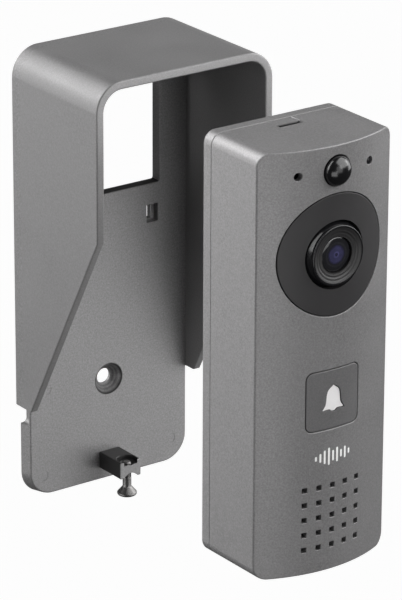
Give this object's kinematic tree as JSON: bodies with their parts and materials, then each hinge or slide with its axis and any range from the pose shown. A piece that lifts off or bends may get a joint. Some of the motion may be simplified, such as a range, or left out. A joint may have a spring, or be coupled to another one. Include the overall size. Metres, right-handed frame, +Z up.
{
  "type": "video doorbell",
  "caption": "Slim video doorbell with camera, motion dome, bell button and speaker grille, drawn forward of its rain-hood wall bracket.",
  "frame": {"origin": "on the bracket's flat back face, in the middle of the bar under its cable window, where it lies on the wall", "axes": "+Z up, +Y into the wall, -Y towards the visitor, +X to the visitor's right"},
  "size_m": [0.07, 0.1325, 0.1622],
  "materials": {
    "grey_plastic": "satin metallic grey moulding with a fine grain",
    "button_grey": "satin grey, slightly darker than the housing",
    "black_plastic": "matt charcoal",
    "gloss_black": "polished black",
    "lens_glass": "coated optical glass",
    "clear_plastic": "clear moulded plastic",
    "white_plastic": "white, light-passing",
    "steel": "zinc-plated or nickel-plated steel",
    "brass": "turned and knurled",
    "rubber": "soft black silicone",
    "board_green": "solder-masked circuit board",
    "terminal_green": "moulded nylon",
    "speaker_paper": "black treated paper and cloth",
    "copper_foil": "etched foil on film"
  },
  "bodies": {
    "bracket": {"hood_bracket": "grey_plastic"},
    "retaining_screw": {"retaining_screw": "steel"},
    "doorbell": {"antenna_strip": "copper_foil", "back_cover": "grey_plastic", "board_screw_1": "steel", "board_screw_2": "steel", "button_membrane": "rubber", "camera_bezel": "black_plastic", "camera_module": "black_plastic", "camera_ring": "gloss_black", "cover_gasket": "rubber", "cover_screw_1": "steel", "cover_screw_2": "steel", "cover_screw_3": "steel", "cover_screw_4": "steel", "front_housing": "grey_plastic", "infrared_led_1": "clear_plastic", "infrared_led_2": "clear_plastic", "infrared_led_3": "clear_plastic", "infrared_led_4": "clear_plastic", "lens_barrel": "black_plastic", "lens_element": "lens_glass", "lens_window": "lens_glass", "light_pipe": "clear_plastic", "light_sensor": "black_plastic", "main_board": "board_green", "microphone": "steel", "microphone_seal": "rubber", "pir_lens": "gloss_black", "pir_sensor": "steel", "radio_shield": "steel", "sensor_board": "board_green", "speaker_cone": "speaker_paper", "speaker_frame": "black_plastic", "speaker_magnet": "steel", "speaker_mesh": "speaker_paper", "speaker_seal": "rubber", "tact_switch": "black_plastic", "terminal_block": "terminal_green", "terminal_screw_1": "steel", "terminal_screw_2": "steel", "threaded_insert": "brass"},
    "bell_button": {"button_cap": "button_grey", "bell_icon": "white_plastic", "switch_plunger": "white_plastic"}
  },
  "joints": [
    {"name": "doorbell_slide", "type": "slide", "parent": "bracket", "child": "doorbell", "axis": [0, 1, 0], "range_m": [0, 0.09]},
    {"name": "button_press", "type": "slide", "parent": "doorbell", "child": "bell_button", "axis": [0, 1, 0], "range_m": [0, 0.0008], "stiffness_N_per_m": 1500},
    {"name": "screw_travel", "type": "slide", "parent": "bracket", "child": "retaining_screw", "axis": [0, 0, 1], "range_m": [0, 0.0059]}
  ]
}
